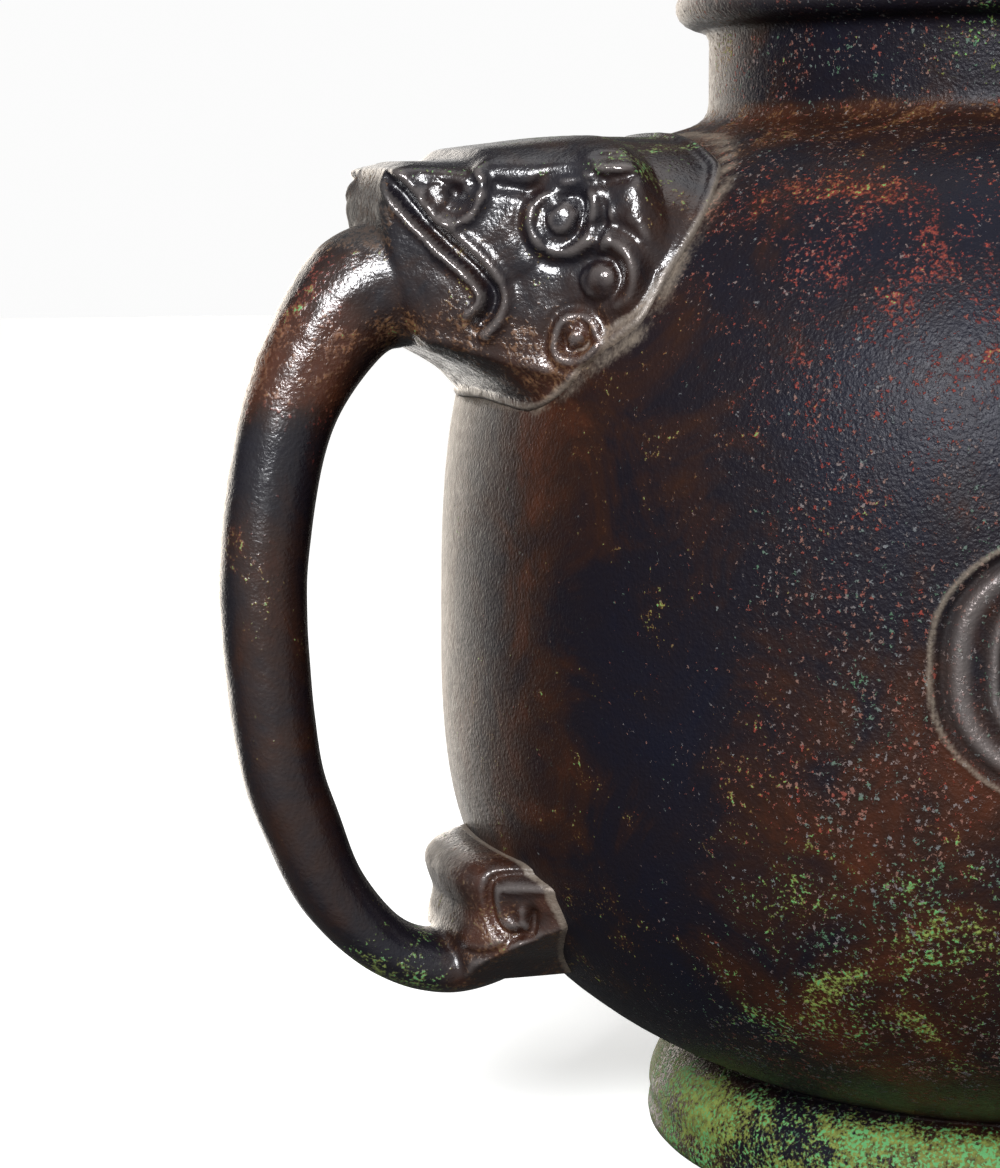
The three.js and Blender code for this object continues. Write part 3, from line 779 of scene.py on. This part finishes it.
def vessel_marks(piece):
    """Marks the solder round the handle's head, a pale, dirty edge round the frames, painted shade that
    darkens the grooves and sunk fields of the panels, and the rubbed frames, stems and rim. The head's edge
    is where the level of its superelliptic section is one."""
    points = points_of(piece)
    s, n, z = -points[:, 0], points[:, 1], points[:, 2]
    outer = np.hypot(s, n) > body_radius(z) - LAP
    broad = np.abs(n) > BROAD_SIDE
    half, low, top, power = head_section(s)
    level = np.abs(n / half) ** power + np.abs((2 * z - top - low) / (top - low)) ** power
    gap = (level ** (1 / power) - 1) * np.minimum(half, (top - low) / 2)
    inset = panel_inset(points[:, 0], z)
    stem = panel_stem(points[:, 0], z)
    round_head = ridge(gap - 0.7, 0.8) * (s > 55)
    grooves = 0.7 * ridge(inset - 1.1, 0.7) + 0.5 * ridge(inset - 5.6, 0.6)
    grooves += 0.6 * ease(FIELD, FIELD + 1, inset)
    ridges = ridge(inset - ROUND_RIDGE, 0.9) + ridge(inset - THIN_RIDGE, 0.5) + 0.5 * stem
    mark(piece, "seam", (0.7 * round_head + 0.7 * ridge(inset + 0.1, 0.5) * broad) * outer)
    # Painted shade in the panels' grooves and sunk fields.
    mark(piece, "hollow", grooves * outer * broad * (1 - stem))
    mark(piece, "worn", (0.9 * ridges * broad + 0.5 * ridge(z - NECK_TOP - 5, 2)) * outer)


def vessel_crusts(x, z):
    """Green over the foot, low on the body and on the neck, red above mid height, ochre round the
    shoulder, and rust below mid height and behind the loop. right is all but the handle's side.
    Each zone is a product of rises along x and z."""
    foot = 1 - z.rise(0.012, 0.0165)
    right = x.rise(-0.082, -0.060)
    low = z.rise(0.024, 0.036) * (1 - z.rise(0.056, 0.068)) * x.rise(-0.076, -0.064)
    neck = z.rise(0.158, 0.163) * x.rise(-0.040, -0.020)
    below = 1 - z.rise(0.080, 0.120)
    shoulder = z.rise(0.140, 0.156) * (1 - z.rise(0.158, 0.160))
    green = (foot * (x.rise(-0.054, -0.036) * 0.12 + 0.26)).most(low * 0.13).most(neck * 0.18)
    red = right * z.rise(0.105, 0.125) * (1 - z.rise(0.146, 0.154)) * 0.08 + right * 0.02
    ochre = (1 - z.rise(0.02, 0.06)) * 0.06 + shoulder * 0.12
    rust = right * below * 0.12 + shoulder * 0.10 + (1 - x.rise(-0.088, -0.080)) * 0.11 - 0.08
    dust = right * 0.23 + right * below * 0.06 - 0.17
    return green, red, ochre, rust, dust


vessel = grid_piece("ewer_vessel", vessel_points())
combine(vessel, grid_piece("tool", spout_points(-SPOUT_WALL, -0.1, 0.3, 0)), "DIFFERENCE")
vessel_marks(vessel)
finish_piece(vessel, "vessel", bronze("vessel bronze", vessel_crusts, 0.42, 0.6, 1.25))

# Floor and lights. A pale plain floor with a faint glow of its own, which reflections leave out, and
# a pale surround, brightest behind the ewer, so that its edges catch the light. A small soft light
# stands high at the left, near the camera, and a weak broad one hangs above.
floor_mesh = bpy.data.meshes.new("floor")
floor_mesh.from_pydata([(-3, -3, 0), (3, -3, 0), (3, 3, 0), (-3, 3, 0)], [], [(0, 1, 2, 3)])
floor = bpy.data.objects.new("floor", floor_mesh)
bpy.context.collection.objects.link(floor)
floor_paint = bpy.data.materials.new("pale floor")
floor_paint.use_nodes = True
pale = floor_paint.node_tree.nodes["Principled BSDF"].inputs
pale["Base Color"].default_value = (0.82, 0.82, 0.81, 1)
pale["Roughness"].default_value = 0.9
pale["Emission Color"].default_value = (1, 1, 0.99, 1)
pale["Emission Strength"].default_value = 0.6
floor.data.materials.append(floor_paint)
floor.visible_glossy = False
floor.visible_diffuse = False

world = bpy.data.worlds.new("surround")
world.use_nodes = True
world.node_tree.nodes.clear()
sky = Shade(world.node_tree)
heading = sky.node("ShaderNodeTexCoord", {}, {}, "Generated")
right, back, up = [sky.node("ShaderNodeSeparateXYZ", {}, {0: heading}, axis) for axis in range(3)]
behind = (back * 0.9986 - right * 0.052).rise(0.90, 0.99)
front = (up * 0.5 - back * 0.8 - right * 0.5).rise(-0.2, 0.8)
seen = sky.node("ShaderNodeLightPath", {}, {}, "Is Camera Ray")
strength = (behind * 4.4 + front * 0.28 + 0.08) * (1 - seen) + seen * 0.97
warmth = sky.node("ShaderNodeMix", {"data_type": "RGBA"},
                  {0: behind * (1 - seen), 6: (1, 1, 1), 7: (1, 0.9, 0.78)}, 2)
backdrop = sky.node("ShaderNodeBackground", {}, {"Color": warmth, "Strength": strength})
sky.node("ShaderNodeOutputWorld", {}, {"Surface": backdrop})
bpy.context.scene.world = world
bpy.context.scene.view_settings.view_transform = "Standard"


def soft_light(name, place, target, width, height, watts, colour):
    """A rectangular area light at a place, turned to a target."""
    light = bpy.data.lights.new(name, "AREA")
    light.shape = "RECTANGLE"
    light.size = width
    light.size_y = height
    light.energy = watts
    light.color = colour
    lamp = bpy.data.objects.new(name, light)
    bpy.context.collection.objects.link(lamp)
    lamp.location = place
    lamp.rotation_euler = (Vector(target) - Vector(place)).to_track_quat("-Z", "Y").to_euler()


soft_light("key", (-0.62, -0.75, 0.60), (-0.05, 0, 0.12), 0.28, 0.28, 17, (0.97, 0.98, 1))

sun = bpy.data.objects.new("above", bpy.data.lights.new("above", "SUN"))
sun.data.energy = 0.65
sun.data.angle = 1.0
sun.rotation_euler = (math.radians(-12), math.radians(14), 0)
bpy.context.collection.objects.link(sun)
